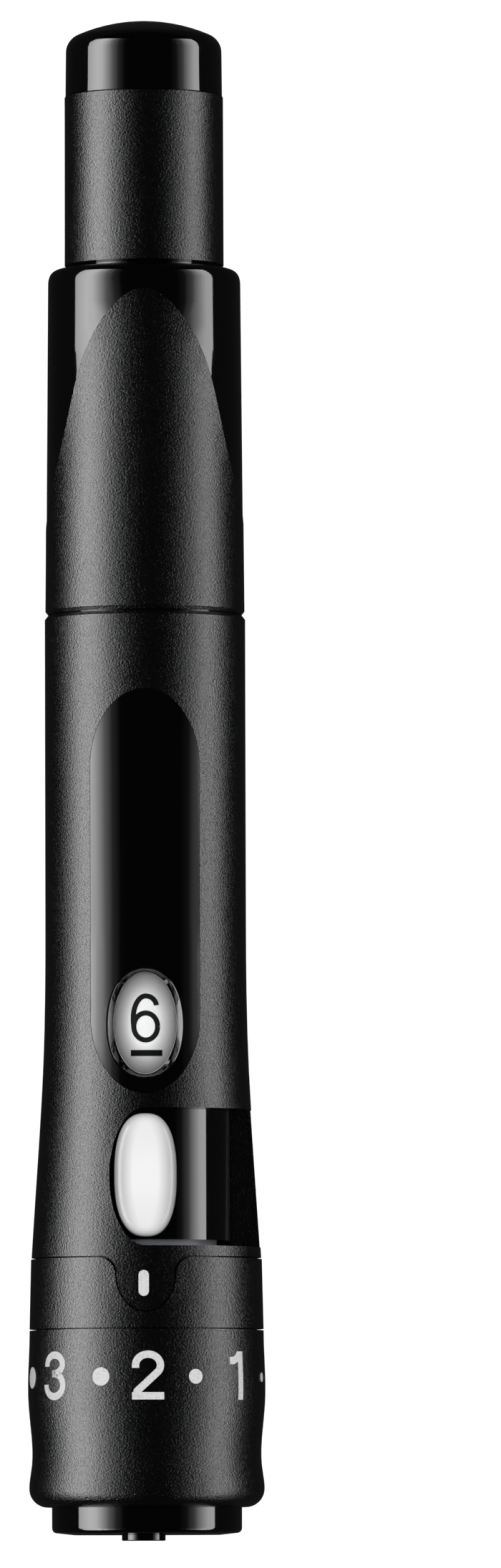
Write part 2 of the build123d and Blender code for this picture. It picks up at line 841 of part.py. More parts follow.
with BuildPart() as lever_crown:
    with BuildSketch(Plane.XY):
        with BuildLine():
            ThreePointArc(
                (lever_crown_radius - lever_crown_drop, lever_station - lever_half_length),
                (lever_crown_radius, lever_station),
                (lever_crown_radius - lever_crown_drop, lever_station + lever_half_length),
            )
            Polyline(
                (lever_crown_radius - lever_crown_drop, lever_station + lever_half_length),
                (lever_ring_radius, lever_station + lever_half_length),
                (lever_ring_radius, lever_station - lever_half_length),
                (lever_crown_radius - lever_crown_drop, lever_station - lever_half_length),
            )
        make_face()
    revolve(axis=Axis.Y)
with BuildPart() as lever_pad:
    with BuildSketch(Plane.XY):
        with BuildLine():
            Spline(*superellipse(), periodic=True)
        make_face()
    extrude(amount=lever_crown_radius + overrun)
    add(lever_crown.part, mode=Mode.INTERSECT)
    crown_edges = lever_pad.faces().sort_by(Axis.Z)[-1].edges()
    fillet(crown_edges, lever_edge)
    radial_bar(
        0, lever_station - tenon_length / 2, lever_station + tenon_length / 2,
        lever_ring_bore + end_gap, lever_ring_radius + overrun / 2, tenon_width,
    )
export(lever_pad, "lever_pad")

# Spring washer on the lever ring, with two pawls that ride on the ratchet
with BuildPart() as index_spring:
    tube(slot_high, slot_high + index_leaf, ratchet_outer, ratchet_inner)
    for side in (0, half_turn):
        with BuildSketch(facing(pawl_azimuth + side, slot_high, ratchet_inner + seat_gap)):
            with BuildLine():
                Polyline(
                    (0, 0), (0, -index_leaf), (pawl_rise, -pawl_length),
                    (pawl_rise + index_leaf, -pawl_length), (index_leaf, 0), close=True,
                )
            make_face()
        extrude(amount=ratchet_outer - ratchet_inner - 2 * seat_gap)
export(index_spring, "index_spring")

# Carrier that turns the drum: keys inside, a face ratchet, and a seat for the counter ring
tooth_pitch = radians(full_turn / ratchet_count) * ratchet_inner
with BuildPart() as drum_carrier:
    tube(carrier_low, carrier_top, carrier_radius, carrier_bore)
    tube(
        carrier_web_low, carrier_web_low + carrier_web,
        (carrier_radius + carrier_bore) / 2, carrier_web_bore,
    )
    flange_low = ratchet_low + ratchet_tooth
    tube(flange_low, flange_low + ratchet_flange, ratchet_radius, carrier_bore)
    for tooth in range(ratchet_count):
        tooth_azimuth = tooth * full_turn / ratchet_count
        half_tooth = tooth_pitch * ratchet_tooth_share / 2
        with BuildSketch(facing(tooth_azimuth, flange_low, ratchet_inner)):
            with BuildLine():
                Polyline(
                    (ratchet_flange / 2, -half_tooth), (0, -half_tooth),
                    (-ratchet_tooth, half_tooth), (ratchet_flange / 2, half_tooth), close=True,
                )
            make_face()
        extrude(amount=ratchet_outer - ratchet_inner)
    for key in range(lancet_count):
        radial_bar(
            active_azimuth + (key + 0.5) * pitch_angle, housing_top + core_step_height + flute_width,
            core_top - flute_width, core_radius - flute_depth + 2 * seat_gap,
            (carrier_bore + carrier_radius) / 2, flute_width - 4 * seat_gap,
        )
export(drum_carrier, "drum_carrier")

with BuildPart() as counter_ring:
    tube(counter_low, carrier_top - end_gap, counter_radius, counter_bore)
export(counter_ring, "counter_ring")

# Drum housing: front wall, flange, windows for the spring legs, and pointed ribs
window_high = housing_top - drum_window_from_top
window_low = window_high - drum_window_length
leg_azimuths = [
    active_azimuth - pitch_angle / 2 + full_turn * side / drum_window_count
    for side in range(drum_window_count)
]
with BuildPart() as drum_housing:
    tube(drum_low, housing_top, housing_radius)
    tube(drum_low, drum_low + flange_height, housing_radius + flange_rise)
    tube(drum_low + front_wall, housing_top + overrun, housing_bore, mode=Mode.SUBTRACT)
    with BuildSketch(across(drum_low)):
        with PolarLocations(orbit, lancet_count, start_angle=active_azimuth):
            Circle(needle_hole_radius)
    extrude(amount=front_wall, mode=Mode.SUBTRACT)
    for leg_azimuth in leg_azimuths:
        radial_bar(
            leg_azimuth, window_low, window_high, housing_bore - overrun,
            housing_radius + overrun, drum_window_width, mode=Mode.SUBTRACT,
        )
    rib_high = housing_top - rib_from_top
    rib_spots = [active_azimuth + index * pitch_angle for index in range(lancet_count)]
    for rib_azimuth in rib_spots:
        rib_plane = facing(rib_azimuth, rib_high - rib_length, housing_bore + housing_wall / 2)
        with BuildSketch(rib_plane):
            with BuildLine():
                Polyline(
                    (0, 0), (rib_width / 2, rib_width / 2),
                    (rib_length - rib_width / 2, rib_width / 2), (rib_length, 0),
                    (rib_length - rib_width / 2, -rib_width / 2), (rib_width / 2, -rib_width / 2),
                    close=True,
                )
            make_face()
        extrude(amount=housing_wall / 2 + rib_rise)
export(drum_housing, "drum_housing")

# Drum core: chambers open to its bore, flutes, ports and three slanted spring legs
core_low = drum_low + front_wall + end_gap
leg_base = core_radius + running_gap
leg_side = (drum_window_width - leg_width) / 2 - 2 * running_gap
foot_side = leg_side - leg_slant
foot_station = window_low + 2 * running_gap
with BuildPart() as drum_core:
    tube(core_low, core_top, core_radius, core_bore)
    for chamber in range(lancet_count):
        chamber_azimuth = active_azimuth + chamber * pitch_angle
        radial_bar(
            chamber_azimuth, core_low - overrun, core_top + overrun, core_bore - overrun,
            chamber_reach, chamber_width, mode=Mode.SUBTRACT,
        )
        radial_bar(
            chamber_azimuth, housing_top + seam_gap, housing_top + seam_gap + core_port,
            chamber_reach - overrun, core_radius + overrun, core_port, mode=Mode.SUBTRACT,
        )
        radial_bar(
            chamber_azimuth + pitch_angle / 2, housing_top + core_step_height,
            core_top + overrun, core_radius - flute_depth, core_radius + overrun,
            flute_width, mode=Mode.SUBTRACT,
        )
    tube(
        housing_top, housing_top + core_step_height, core_radius + overrun,
        core_radius - core_step, mode=Mode.SUBTRACT,
    )
    for leg_azimuth in leg_azimuths:
        radial_bar(
            leg_azimuth, window_high - 2 * running_gap - leg_width, window_high - 2 * running_gap,
            core_radius - flute_depth, leg_base + leg_thickness, leg_width,
        )
        leg_top = window_high - 2 * running_gap - leg_width / 2
        leg_bend = leg_top - leg_straight
        half_leg = leg_width / 2
        with BuildSketch(facing(leg_azimuth, 0, leg_base)):
            with BuildLine():
                Polyline(
                    (leg_top, -half_leg), (leg_top, leg_side + half_leg),
                    (leg_bend, leg_side + half_leg),
                    (foot_station, foot_side + half_leg), (foot_station, foot_side - half_leg),
                    (leg_bend, leg_side - half_leg), (leg_top - half_leg, leg_side - half_leg),
                    close=True,
                )
            make_face()
        extrude(amount=leg_thickness)
        with BuildSketch(facing(leg_azimuth, foot_station + foot_height / 2, leg_base)):
            with Locations((0, foot_side + (foot_width - leg_width) / 2 - running_gap)):
                Rectangle(foot_height, foot_width)
        extrude(amount=leg_thickness + foot_rise)
export(drum_core, "drum_core")

# Six lancets: each a moulded body with a head, and a needle with a ground point
for index in range(lancet_count):
    lancet_azimuth = active_azimuth + index * pitch_angle
    with BuildPart() as lancet_needle:
        with BuildSketch(across(needle_tip)):
            with PolarLocations(orbit, 1, start_angle=lancet_azimuth):
                Circle(needle_radius)
        extrude(amount=needle_tail - needle_tip)
        with BuildSketch(lengthwise(lancet_azimuth)):
            with BuildLine():
                Polyline(
                    (needle_tip, orbit - needle_radius),
                    (needle_tip + needle_point, orbit + needle_radius),
                    (needle_tip, orbit + needle_radius), close=True,
                )
            make_face()
        extrude(amount=2 * needle_radius, both=True, mode=Mode.SUBTRACT)
    export(lancet_needle, f"lancet_needle_{index + 1}")
    with BuildPart() as lancet_body:
        with BuildSketch(lengthwise(lancet_azimuth)):
            with BuildLine():
                nose_half = (lancet_outer - lancet_inner) / 4
                Polyline(
                    (lancet_low, orbit - nose_half), (lancet_low + lancet_nose, lancet_inner),
                    (head_low, lancet_inner), (head_low, head_inner), (head_high, head_inner),
                    (head_high, lancet_outer), (lancet_low + lancet_nose, lancet_outer),
                    (lancet_low, orbit + nose_half), close=True,
                )
            make_face()
        extrude(amount=lancet_width / 2, both=True)
        with BuildSketch(across(lancet_low)):
            with PolarLocations(orbit, 1, start_angle=lancet_azimuth):
                Circle(needle_radius)
        extrude(amount=needle_tail - lancet_low, mode=Mode.SUBTRACT)
    export(lancet_body, f"lancet_body_{index + 1}")

# Ram: the rod with its claw, the hub and the guided arm
claw_low = head_low - claw_gap - claw_jaw
with BuildPart() as ram:
    tube(claw_low, rod_top, rod_radius)
    for jaw_low in (claw_low, head_high + claw_gap):
        radial_bar(active_azimuth, jaw_low, jaw_low + claw_jaw, 0, claw_reach, claw_width)
    tube(hub_low, hub_low + hub_height, hub_radius)
    radial_bar(arm_azimuth, hub_low, hub_low + hub_height, 0, arm_outer, arm_width)
    radial_bar(arm_azimuth, hub_low, arm_top, arm_inner, arm_outer, arm_width)
    radial_rod(
        arm_azimuth, follower_station, arm_inner - overrun / 2, arm_outer + overrun,
        pin_radius, mode=Mode.SUBTRACT,
    )
export(ram, "ram")

with BuildPart() as follower_pin:
    radial_rod(
        arm_azimuth, follower_station, rotor_radius - pin_groove_depth + pin_tip_gap,
        arm_outer, pin_radius,
    )
export(follower_pin, "follower_pin")

# Drive rotor: one turn of its closed groove sends the ram out and back
groove_width = 2 * (pin_radius + running_gap)
cam_low = follower_station - stroke
cam_pitch = 2 * stroke
with BuildPart() as drive_rotor:
    tube(rotor_low, rotor_high, rotor_radius, rotor_bore)
    tube(rotor_high - end_gap, journal_top, journal_radius, rotor_bore)
    for hand in (False, True):
        cam_line = helix_at(
            arm_azimuth + half_turn, cam_low, cam_pitch, stroke, rotor_radius, lefthand=hand,
        )
        add(swept_on(cam_line, 2 * pin_groove_depth, groove_width), mode=Mode.SUBTRACT)
    cam_ends = ((arm_azimuth - half_turn, cam_low), (arm_azimuth, follower_station))
    for cut_azimuth, cut_station in cam_ends:
        radial_rod(
            cut_azimuth, cut_station, rotor_radius - pin_groove_depth,
            rotor_radius + overrun, groove_width / 2, mode=Mode.SUBTRACT,
        )
export(drive_rotor, "drive_rotor")

# Inner frame: bulkhead that guides the rod, and a slot that guides the arm
with BuildPart() as drive_frame:
    tube(frame_low, mouth_station - end_gap, frame_radius, frame_bore)
    tube(mouth_station - end_gap, frame_top, frame_neck_radius, frame_bore)
    tube(frame_low, frame_low + bulkhead, frame_bore + seat_gap, rod_radius + running_gap)
    radial_bar(
        arm_azimuth, frame_low + bulkhead, arm_top + 2 * seam_gap, frame_bore - overrun,
        arm_outer + running_gap, arm_width + 2 * running_gap, mode=Mode.SUBTRACT,
    )
export(drive_frame, "drive_frame")

with BuildPart() as middle_bush:
    tube(bush_low, bush_low + bush_height, frame_bore - seat_gap, journal_radius + running_gap)
export(middle_bush, "middle_bush")

# Cocking rotor: its helical groove turns the button's travel into half a turn
cocking_flange_top = cocking_flange_low + cocking_flange_height
with BuildPart() as cocking_rotor:
    tube(cocking_low, cocking_flange_low + end_gap, journal_radius, cocking_bore)
    tube(cocking_flange_low, cocking_flange_top, cocking_flange_radius, cocking_bore)
    tube(cocking_flange_top - end_gap, cocking_top, cocking_radius, cocking_bore)
    screw_low = cocking_pin_station - button_travel
    screw_pitch = button_travel * 2 * half_turn / cocking_turn
    screw_line = helix_at(
        cocking_azimuth - cocking_turn, screw_low, screw_pitch, button_travel, cocking_radius,
    )
    add(swept_on(screw_line, 2 * pin_groove_depth, groove_width), mode=Mode.SUBTRACT)
    screw_ends = (
        (cocking_azimuth - cocking_turn, screw_low), (cocking_azimuth, cocking_pin_station),
    )
    for cut_azimuth, cut_station in screw_ends:
        radial_rod(
            cut_azimuth, cut_station, cocking_radius - pin_groove_depth,
            cocking_radius + overrun, groove_width / 2, mode=Mode.SUBTRACT,
        )
export(cocking_rotor, "cocking_rotor")

with BuildPart() as drive_spring:
    add(coil(
        journal_top + seam_gap, cocking_flange_low - end_gap, drive_coil_radius, drive_wire,
        drive_coils,
    ))
export(drive_spring, "drive_spring")

with BuildPart() as rear_bearing:
    bearing_low = cocking_flange_top + seam_gap
    tube(
        bearing_low, bearing_low + rear_bearing_height, shell_bore - seat_gap,
        cocking_radius + running_gap,
    )
export(rear_bearing, "rear_bearing")

# Rear shell with its rounded mouth, let down where the tongue sleeve lies
with BuildPart() as sleeve_seat:
    add(tongue_blank(tongue_thickness, overrun))
    add(tongue_prism(seat_gap), mode=Mode.INTERSECT)
with BuildPart() as rear_shell:
    with BuildSketch(Plane.XY):
        with BuildLine():
            shoulder_low = shell_mouth - shell_shoulder_height
            mouth_lead = shell_crest_radius - shell_bore
            Spline(
                (shell_crest_radius, shell_mouth), (shell_shoulder_radius, shoulder_low),
                tangents=((1, 0), (0, -1)),
            )
            Polyline(
                (shell_shoulder_radius, shoulder_low), (shell_tail_radius, sleeve_low),
                (tail_radius, sleeve_low), (tail_radius, shell_tail), (shell_bore, shell_tail),
                (shell_bore, shell_mouth - mouth_lead), (shell_crest_radius, shell_mouth),
            )
        make_face()
    revolve(axis=Axis.Y)
    add(sleeve_seat.part, mode=Mode.SUBTRACT)
export(rear_shell, "rear_shell")

# Sleeve over the rear shell, with a tongue on the front and one on the back
with BuildPart() as tongue_sleeve:
    add(tongue_blank(tongue_thickness - seat_gap, tongue_proud))
    add(tongue_prism(0), mode=Mode.INTERSECT)
    turned([
        (shell_tail_radius + tongue_proud - groove_depth, sleeve_low),
        (shell_tail_radius + tongue_proud, sleeve_low + groove_half_width),
        (shell_tail_radius + overrun, sleeve_low + groove_half_width),
        (shell_tail_radius + overrun, sleeve_low),
    ], mode=Mode.SUBTRACT)
export(tongue_sleeve, "tongue_sleeve")

# Button: the dome with its long stem, the grip sleeve, the cocking pin and the spring
with BuildPart() as button_dome:
    with BuildSketch(Plane.XY):
        with BuildLine():
            crown_drop = dome_crown - sqrt(dome_crown ** 2 - dome_top_radius ** 2)
            TangentArc(
                (0, button_top), (dome_top_radius, button_top - crown_drop), tangent=(1, 0),
            )
            Polyline(
                (dome_top_radius, button_top - crown_drop), (dome_radius, dome_low),
                (stem_radius, dome_low), (stem_radius, stem_low), (stem_bore, stem_low),
                (stem_bore, stem_ceiling), (0, stem_ceiling), (0, button_top),
            )
        make_face()
    revolve(axis=Axis.Y)
    round_edges = button_dome.edges().filter_by(lambda edge: edge.is_closed)
    fillet(round_edges.sort_by(Axis.Y)[-1], dome_round)
    radial_rod(
        cocking_azimuth, cocking_pin_station, stem_bore - overrun, stem_radius + overrun,
        pin_radius, mode=Mode.SUBTRACT,
    )
export(button_dome, "button_dome")

grip_high = dome_low - end_gap
with BuildPart() as button_sleeve:
    turned([
        (stem_radius + seat_gap, grip_low), (grip_radius, grip_low),
        (grip_top_radius, grip_high - grip_edge), (grip_top_radius - grip_edge, grip_high),
        (stem_radius + seat_gap, grip_high),
    ])
export(button_sleeve, "button_sleeve")

with BuildPart() as cocking_pin:
    radial_rod(
        cocking_azimuth, cocking_pin_station, cocking_radius - pin_groove_depth + pin_tip_gap,
        stem_radius, pin_radius,
    )
export(cocking_pin, "cocking_pin")

with BuildPart() as button_spring:
    add(coil(
        bearing_low + rear_bearing_height + end_gap, stem_low - end_gap, button_coil_radius,
        button_wire, button_coils,
    ))
export(button_spring, "button_spring")
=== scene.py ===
"""Looks of the lancing device: studio, camera, materials and printed marks."""

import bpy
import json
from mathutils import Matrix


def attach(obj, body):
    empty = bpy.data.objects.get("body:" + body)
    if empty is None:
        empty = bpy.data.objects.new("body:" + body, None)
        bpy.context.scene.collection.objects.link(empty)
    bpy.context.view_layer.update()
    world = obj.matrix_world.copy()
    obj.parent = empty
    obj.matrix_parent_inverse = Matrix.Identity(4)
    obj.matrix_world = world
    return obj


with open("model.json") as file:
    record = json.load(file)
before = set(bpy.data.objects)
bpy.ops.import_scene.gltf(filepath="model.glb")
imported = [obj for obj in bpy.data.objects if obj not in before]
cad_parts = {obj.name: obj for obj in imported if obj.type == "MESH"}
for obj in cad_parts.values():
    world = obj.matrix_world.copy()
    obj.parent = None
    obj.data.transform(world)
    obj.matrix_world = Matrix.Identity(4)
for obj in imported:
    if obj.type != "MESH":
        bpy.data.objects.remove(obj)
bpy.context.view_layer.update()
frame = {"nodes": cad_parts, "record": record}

import json
from math import atan, ceil, cos, hypot, pi, radians, sin

import bpy
from mathutils import Matrix, Vector
from mathutils.bvhtree import BVHTree

MM = 0.001
nodes = frame["nodes"]

# Camera
horizon_station = -2.25 * MM
aim_station = 51.73 * MM
camera_side = 7.256 * MM
camera_height = 913.0 * MM
camera_lens = 304.3
camera_sensor = 36.0
camera_roll = -0.16
camera_reach = (0.01, 20.0)

# Floor on which the pen lies, on its dial and its rear shell, and light of the room
dial_contact = (9.1 * MM, 8.148 * MM)
shell_contact = (86.0 * MM, 6.66 * MM)
floor_size = 4.0
floor_glow = 0.92
floor_grey = 0.30
floor_dark = 0.02
room_level = 0.15
mirror_level = 0.0064

# Fill from the front and both sides, which only diffuse surfaces answer to: levels by bearing
fill_distance = 1.10
fill_size = 0.60
fill_levels = {-70: 0.44, 0: 0.78, 70: 0.44}

# Softboxes: distance from the axis, length, and brightness by bearing from straight up
box_distance = 0.80
box_length = 1.30
left_profile = (
    (-96.5, 2.6), (-88, 3.6), (-80, 4.5), (-72, 5.2), (-64, 4.9), (-55, 2.9), (-46, 1.0),
    (-37, 0.18), (-28, 0.01), (-20, 0.0),
)
right_profile = (
    (97.3, 3.2), (90, 3.5), (80, 3.5), (70, 2.0), (60, 0.45), (50, 0.05), (40, 0.0),
)

# Finishes: features per metre of each noise, then depths, shades, roughness and the lens
drift_scale = 260.0
polish_scale = 700.0
wave_scale = 160.0
fine_scale = 5500.0
pebble_scale = 8800.0
line_scale = 9000.0
haze_scale = 900.0
line_depth = 0.002 * MM
scatter_reach = 0.4 * MM
line_shade = 0.85
steel_roughness = (0.18, 0.34)
lens_roughness = (0.02, 0.04)
lens_index = 1.20
lens_tone = (0.98, 0.985, 0.985)
ink_roughness = (0.45, 0.60)
ink_specular = 0.4
speck_edge = 0.05

# Printed marks. The dial's are listed by half steps of depth, from the lowest to the highest
print_lift = 0.015 * MM
print_depth = 0.030 * MM
print_step = 0.12 * MM
probe_radius = 30.0 * MM
dial_station = 10.89 * MM
dial_height = 3.34 * MM
dial_stroke = 0.50 * MM
dial_positions = 14
front_halves = 4
dot_radii = {1: 0.325, 3: 0.505, 5: 0.625, 7: 0.74, 9: 0.85, 11: 0.95}
dot_station = 10.80 * MM
dial_bearings = {1: 75.7, 2: 50.1, 3: 24.7, 4: 1.1, 5: -22.1, 6: -50.4, 7: -73.7}
mark_bearing = -0.9
mark_station = 17.17 * MM
mark_length = 1.77 * MM
mark_width = 0.71 * MM
counter_station = 35.35 * MM
counter_height = 3.37 * MM
counter_stroke = 0.35 * MM
bar_station = 32.95 * MM
bar_length = 2.145 * MM
bar_offset = 0.09 * MM
bar_width = 0.42 * MM
lancet_count = 6


def outward(turn):
    """The way out from the pen's axis at an angle from straight up."""
    return Vector((sin(turn), 0, cos(turn)))


def new_object(name, data):
    """An object in the scene."""
    added = bpy.data.objects.new(name, data)
    bpy.context.scene.collection.objects.link(added)
    return added


# Node helpers
def new_material(name):
    """A node material with an empty tree and its output."""
    material = bpy.data.materials.new(name)
    material.use_nodes = True
    tree = material.node_tree
    tree.nodes.clear()
    return material, tree, tree.nodes.new("ShaderNodeOutputMaterial")


def noise(tree, scale, detail=2.0, roughness=0.5, distortion=0.0, stretch=(1, 1, 1)):
    """Noise in the object's own coordinates, with its scale in features per metre."""
    place = tree.nodes.new("ShaderNodeTexCoord")
    mapping = tree.nodes.new("ShaderNodeMapping")
    mapping.inputs["Scale"].default_value = stretch
    texture = tree.nodes.new("ShaderNodeTexNoise")
    texture.inputs["Scale"].default_value = scale
    texture.inputs["Detail"].default_value = detail
    texture.inputs["Roughness"].default_value = roughness
    texture.inputs["Distortion"].default_value = distortion
    tree.links.new(place.outputs["Object"], mapping.inputs["Vector"])
    tree.links.new(mapping.outputs["Vector"], texture.inputs["Vector"])
    return texture.outputs["Fac"]


def spread(tree, value, low, high, start=0.3, end=0.7):
    """Map a value from one range to another."""
    node = tree.nodes.new("ShaderNodeMapRange")
    node.inputs["From Min"].default_value = start
    node.inputs["From Max"].default_value = end
    node.inputs["To Min"].default_value = low
    node.inputs["To Max"].default_value = high
    tree.links.new(value, node.inputs["Value"])
    return node.outputs["Result"]


def blend_colors(tree, value, first, second):
    """Blend two colours by a value."""
    node = tree.nodes.new("ShaderNodeMix")
    node.data_type = "RGBA"
    node.inputs["A"].default_value = (*first, 1)
    node.inputs["B"].default_value = (*second, 1)
    tree.links.new(value, node.inputs["Factor"])
    return node.outputs["Result"]


def mix_shaders(tree, share, first, second):
    """The first shader where the share is zero, and the second where it is one."""
    node = tree.nodes.new("ShaderNodeMixShader")
    tree.links.new(share, node.inputs["Fac"])
    tree.links.new(first, node.inputs[1])
    tree.links.new(second, node.inputs[2])
    return node.outputs["Shader"]


def bump(tree, height, distance, onto=None):
    """A bump whose height is a value times a distance, on top of another normal if given."""
    node = tree.nodes.new("ShaderNodeBump")
    node.inputs["Strength"].default_value = 1.0
    node.inputs["Distance"].default_value = distance
    tree.links.new(height, node.inputs["Height"])
    if onto:
        tree.links.new(onto, node.inputs["Normal"])
    return node.outputs["Normal"]


def oval_reach(tree, node, length_weight=1.0):
    """Distance from the middle of a piece, as the front shows it: one at the rim of its oval.

    A length weight below one makes the oval longer than the piece.
    """
    corners = [vertex.co for vertex in nodes[node].data.vertices]
    half_width = max(corner.x for corner in corners)
    low, high = min(corner.y for corner in corners), max(corner.y for corner in corners)
    stretch = 2 * length_weight / (high - low)
    place = tree.nodes.new("ShaderNodeTexCoord")
    oval = tree.nodes.new("ShaderNodeVectorMath")
    oval.operation = "MULTIPLY_ADD"
    oval.inputs[1].default_value = (1 / half_width, stretch, 0)
    oval.inputs[2].default_value = (0, -stretch * (high + low) / 2, 0)
    reach = tree.nodes.new("ShaderNodeVectorMath")
    reach.operation = "LENGTH"
    tree.links.new(place.outputs["Object"], oval.inputs[0])
    tree.links.new(oval.outputs["Vector"], reach.inputs[0])
    return reach.outputs["Value"]


def plastic(
    name, tone, tone_drift=0.15, roughness=(0.3, 0.36), specular=0.5, grain=0.0,
    grain_scale=fine_scale, stretch=(1, 1, 1), wave=0.0, scatter=0.0, rim=None,
):
    """Moulded plastic: slow drift of tone and polish, a grain, and a faint wave of the mould.

    A rim names the piece, its length weight, where the tone starts to fall toward the rim of its
    oval, and what share of it is left there: painted shade that darkens the piece's flanks.
    """
    material, tree, output = new_material(name)
    shader = tree.nodes.new("ShaderNodeBsdfPrincipled")
    shader.inputs["Specular IOR Level"].default_value = specular
    drift = noise(tree, drift_scale, detail=4.0, roughness=0.6)
    darker = tuple(part * (1 - tone_drift) for part in tone)
    lighter = tuple(min(1, part * (1 + tone_drift)) for part in tone)
    color = blend_colors(tree, spread(tree, drift, 0, 1), darker, lighter)
    # Painted shade: the base colour falls toward the rim of the piece's oval, in place of the
    # shade on its flanks
    if rim:
        reach = oval_reach(tree, rim["node"], rim["length_weight"])
        left = spread(tree, reach, 1, rim["share"], rim["start"], 1)
        shade = tree.nodes.new("ShaderNodeVectorMath")
        shade.operation = "SCALE"
        tree.links.new(color, shade.inputs[0])
        tree.links.new(left, shade.inputs["Scale"])
        color = shade.outputs["Vector"]
    tree.links.new(color, shader.inputs["Base Color"])
    polish = noise(tree, polish_scale, detail=5.0, roughness=0.65)
    tree.links.new(spread(tree, polish, *roughness), shader.inputs["Roughness"])
    if scatter:
        shader.inputs["Subsurface Weight"].default_value = scatter
        shader.inputs["Subsurface Radius"].default_value = (1, 1, 1)
        shader.inputs["Subsurface Scale"].default_value = scatter_reach
    normal = None
    if wave:
        normal = bump(tree, noise(tree, wave_scale, detail=1.0), wave)
    if grain:
        pebble = noise(
            tree, grain_scale, detail=2.5, roughness=0.55, distortion=0.35, stretch=stretch,
        )
        normal = bump(tree, pebble, grain, normal)
    if normal:
        tree.links.new(normal, shader.inputs["Normal"])
    tree.links.new(shader.outputs["BSDF"], output.inputs["Surface"])
    return material


def ground_steel(name, tone, along):
    """Drawn or ground steel with fine lines along its length."""
    material, tree, output = new_material(name)
    shader = tree.nodes.new("ShaderNodeBsdfPrincipled")
    shader.inputs["Metallic"].default_value = 1.0
    lines = noise(tree, line_scale, detail=3.0, stretch=along)
    darker = tuple(part * line_shade for part in tone)
    tree.links.new(blend_colors(tree, lines, darker, tone), shader.inputs["Base Color"])
    tree.links.new(spread(tree, lines, *steel_roughness), shader.inputs["Roughness"])
    tree.links.new(bump(tree, lines, line_depth), shader.inputs["Normal"])
    tree.links.new(shader.outputs["BSDF"], output.inputs["Surface"])
    return material


def clear_lens(name, node, painted_rim_start, painted_rim_tone):
    """Clear plastic that light passes, with a faint haze, tinted darker toward its oval rim as
    painted shade of the window's recess.
    """
    material, tree, output = new_material(name)
    shader = tree.nodes.new("ShaderNodeBsdfPrincipled")
    # Painted shade: the tint darkens toward the oval rim, in place of the shade the window's
    # recess casts on the counter
    rim = spread(tree, oval_reach(tree, node), 0, 1, painted_rim_start, 1)
    tree.links.new(blend_colors(tree, rim, lens_tone, painted_rim_tone), shader.inputs["Base Color"])
    shader.inputs["Transmission Weight"].default_value = 1.0
    shader.inputs["IOR"].default_value = lens_index
    haze = noise(tree, haze_scale, detail=3.0)
    tree.links.new(spread(tree, haze, *lens_roughness), shader.inputs["Roughness"])
    clear = tree.nodes.new("ShaderNodeBsdfTransparent")
    path = tree.nodes.new("ShaderNodeLightPath")
    surface = mix_shaders(
        tree, path.outputs["Is Shadow Ray"], shader.outputs["BSDF"], clear.outputs["BSDF"],
    )
    tree.links.new(surface, output.inputs["Surface"])
    return material


def ink(name, tone, speck_tone, speck_share, grain):
    """Pad printed ink that shows the plastic through in specks of the grain."""
    material, tree, output = new_material(name)
    shader = tree.nodes.new("ShaderNodeBsdfPrincipled")
    shader.inputs["Specular IOR Level"].default_value = ink_specular
    specks = noise(tree, pebble_scale, detail=2.5, roughness=0.55, distortion=0.35)
    worn = spread(tree, specks, 1, 0, speck_share - speck_edge, speck_share + speck_edge)
    tree.links.new(blend_colors(tree, worn, tone, speck_tone), shader.inputs["Base Color"])
    tree.links.new(spread(tree, specks, *ink_roughness), shader.inputs["Roughness"])
    if grain:
        tree.links.new(bump(tree, specks, grain), shader.inputs["Normal"])
    tree.links.new(shader.outputs["BSDF"], output.inputs["Surface"])
    return material


black_gloss = plastic(
    "black_gloss", (0.0006, 0.0006, 0.0007), roughness=(0.035, 0.060), specular=1.0,
    wave=0.0015 * MM,
)
black_matte = plastic(
    "black_matte", (0.0012, 0.0012, 0.0013), roughness=(0.12, 0.17), specular=1.0,
    grain=0.043 * MM, grain_scale=pebble_scale, stretch=(0.92, 1.25, 0.92),
)
# The lever's tone falls to 0.40 toward the rim of its oval: painted shade of its flanks
lever_white = plastic(
    "lever_white", (0.80, 0.80, 0.80), tone_drift=0.01, roughness=(0.16, 0.22),
    wave=0.002 * MM, scatter=0.15,
    rim={"node": "lever_pad", "length_weight": 0.5, "start": 0.42, "share": 0.40},
)
counter_white = plastic(
    "counter_white", (0.82, 0.82, 0.82), tone_drift=0.01, roughness=(0.38, 0.46),
    grain=0.001 * MM,
)
drum_grey = plastic(
    "drum_grey", (0.15, 0.16, 0.18), tone_drift=0.05, roughness=(0.35, 0.42), grain=0.002 * MM,
)
drum_white = plastic(
    "drum_white", (0.66, 0.68, 0.67), tone_drift=0.02, roughness=(0.30, 0.38),
    grain=0.001 * MM, scatter=0.4,
)
lancet_plastic = plastic(
    "lancet_plastic", (0.60, 0.64, 0.68), tone_drift=0.02, roughness=(0.30, 0.36), scatter=0.3,
)
inner_plastic = plastic(
    "inner_plastic", (0.50, 0.50, 0.47), tone_drift=0.03, roughness=(0.34, 0.42),
    grain=0.001 * MM,
)
bearing_plastic = plastic(
    "bearing_plastic", (0.10, 0.105, 0.12), tone_drift=0.05, roughness=(0.32, 0.40),
)
needle_steel = ground_steel("needle_steel", (0.58, 0.58, 0.57), along=(1, 0.05, 1))
spring_steel = ground_steel("spring_steel", (0.50, 0.50, 0.49), along=(1, 1, 1))
# The lens darkens to 0.22 toward its rim: painted shade of the window's recess
lens_clear = clear_lens("lens_clear", "window_lens", painted_rim_start=0.45, painted_rim_tone=(0.22, 0.22, 0.22))
white_ink = ink(
    "white_ink", (0.60, 0.60, 0.60), speck_tone=(0.42, 0.42, 0.42), speck_share=0.40,
    grain=0.010 * MM,
)
black_ink = ink(
    "black_ink", (0.003, 0.003, 0.003), speck_tone=(0.005, 0.005, 0.005), speck_share=0.30,
    grain=0.0,
)

